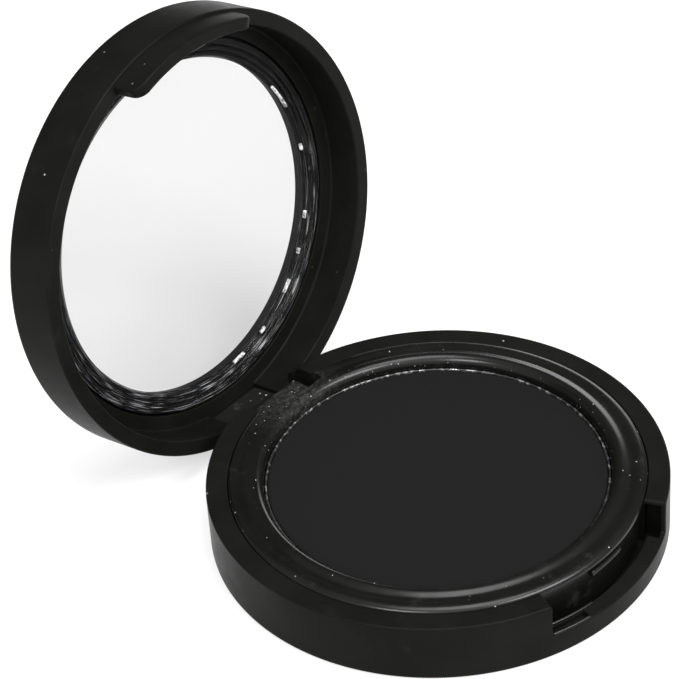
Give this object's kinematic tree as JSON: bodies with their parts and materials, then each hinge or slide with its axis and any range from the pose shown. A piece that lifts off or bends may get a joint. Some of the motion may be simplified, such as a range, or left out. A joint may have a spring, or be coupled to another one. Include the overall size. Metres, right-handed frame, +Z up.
{
  "type": "round palette compact",
  "caption": "Round hinged colour compact: a flat case with a thumb notch, a glossy tray holding a pressed colour cake, and a deep lid with a clear window.",
  "frame": {"origin": "centre of the round case's flat underside", "axes": "+Z up out of the underside through the colour; the thumb notch faces -Y; the lid's hinge runs along X at the +Y side; stored with the lid open at its stop"},
  "size_m": [0.06, 0.0777, 0.0607],
  "materials": {
    "case_plastic": "black, fine satin moulding",
    "tray_plastic": "black, polished moulding",
    "pan_aluminium": "thin pressed sheet, bare",
    "pressed_color": "pressed powder, dead matt",
    "adhesive": "soft pressure-sensitive pad",
    "pin_steel": "drawn wire",
    "window_clear": "clear, polished moulding"
  },
  "bodies": {
    "base": {"base_shell": "case_plastic", "inner_tray": "tray_plastic", "color_pan": "pan_aluminium", "color_cake": "pressed_color", "pan_adhesive": "adhesive", "hinge_pin": "pin_steel"},
    "lid": {"lid_shell": "case_plastic", "lid_window": "window_clear", "hinge_block": "case_plastic"}
  },
  "joints": [
    {"name": "lid_hinge", "type": "hinge", "parent": "base", "child": "lid", "pos_m": [0, 0.02738, 0.0044], "axis": [1, 0, 0], "range_deg": [0, 99]}
  ]
}
